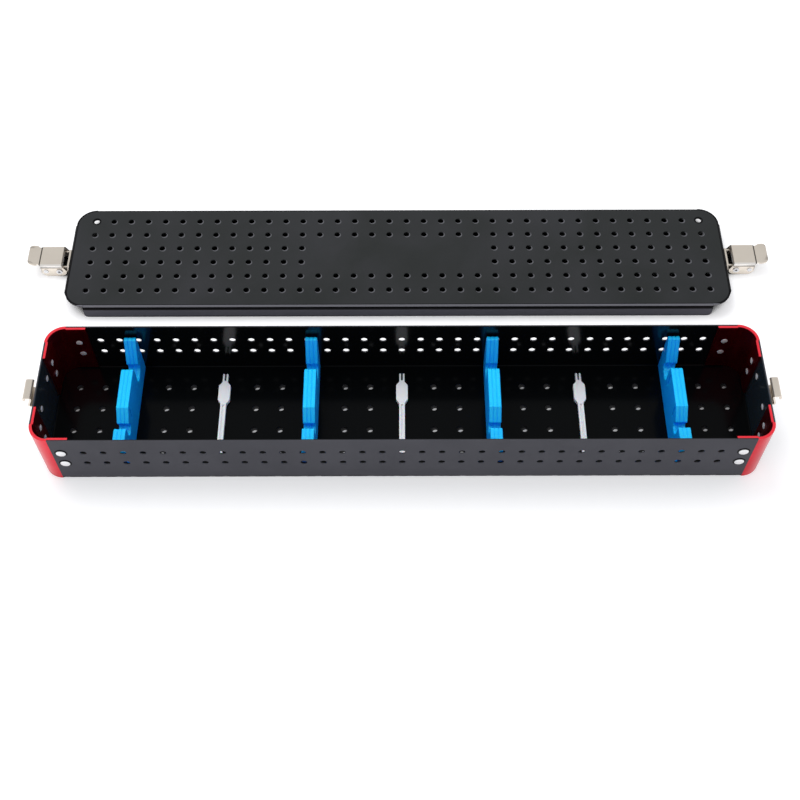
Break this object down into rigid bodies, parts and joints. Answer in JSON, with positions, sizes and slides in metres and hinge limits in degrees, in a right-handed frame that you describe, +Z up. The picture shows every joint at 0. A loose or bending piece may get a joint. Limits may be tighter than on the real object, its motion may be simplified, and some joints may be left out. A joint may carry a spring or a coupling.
{
  "type": "sterilization container",
  "caption": "Long perforated instrument tray with a lift-off latched lid, red corners and blue silicone supports.",
  "frame": {"origin": "middle of the tray's underside, on the surface that it stands on", "axes": "+X along the tray to the right, +Y across it towards the lid that lies beside it, +Z up"},
  "size_m": [0.507, 0.211, 0.0446],
  "materials": {
    "charcoal_sheet": "satin",
    "red_corners": "satin",
    "blue_silicone": "satin",
    "white_silicone": "satin",
    "latch_steel": "satin",
    "bright_rivets": "polished"
  },
  "bodies": {
    "tray": {"tray_shell": "charcoal_sheet", "corner_front_left": "red_corners", "corner_front_right": "red_corners", "corner_back_left": "red_corners", "corner_back_right": "red_corners", "corner_rivets_front_left": "bright_rivets", "corner_rivets_front_right": "bright_rivets", "corner_rivets_back_left": "bright_rivets", "corner_rivets_back_right": "bright_rivets", "support_far_left": "blue_silicone", "support_left": "blue_silicone", "support_right": "blue_silicone", "support_far_right": "blue_silicone", "strap_left": "white_silicone", "strap_middle": "white_silicone", "strap_right": "white_silicone", "catch_left": "latch_steel", "catch_right": "latch_steel", "catch_rivets_left": "bright_rivets", "catch_rivets_right": "bright_rivets"},
    "lid": {"lid_panel": "charcoal_sheet", "latch_bracket_left": "latch_steel", "bracket_rivets_left": "bright_rivets", "hinge_pin_left": "bright_rivets", "latch_bracket_right": "latch_steel", "bracket_rivets_right": "bright_rivets", "hinge_pin_right": "bright_rivets"},
    "lever_left": {"latch_lever_left": "latch_steel", "hook_pin_left": "bright_rivets"},
    "lever_right": {"latch_lever_right": "latch_steel", "hook_pin_right": "bright_rivets"}
  },
  "joints": [
    {"name": "lid_lift", "type": "slide", "parent": "tray", "child": "lid", "axis": [0.013, -0.65, 0.7598], "range_m": [0, 0.1922]},
    {"name": "lever_left_swing", "type": "hinge", "parent": "lid", "child": "lever_left", "pos_m": [-0.2353, 0.1257, 0.005], "axis": [0, -1, 0], "range_deg": [-30, 90]},
    {"name": "lever_right_swing", "type": "hinge", "parent": "lid", "child": "lever_right", "pos_m": [0.2303, 0.1257, 0.005], "axis": [0, 1, 0], "range_deg": [-30, 90]}
  ]
}
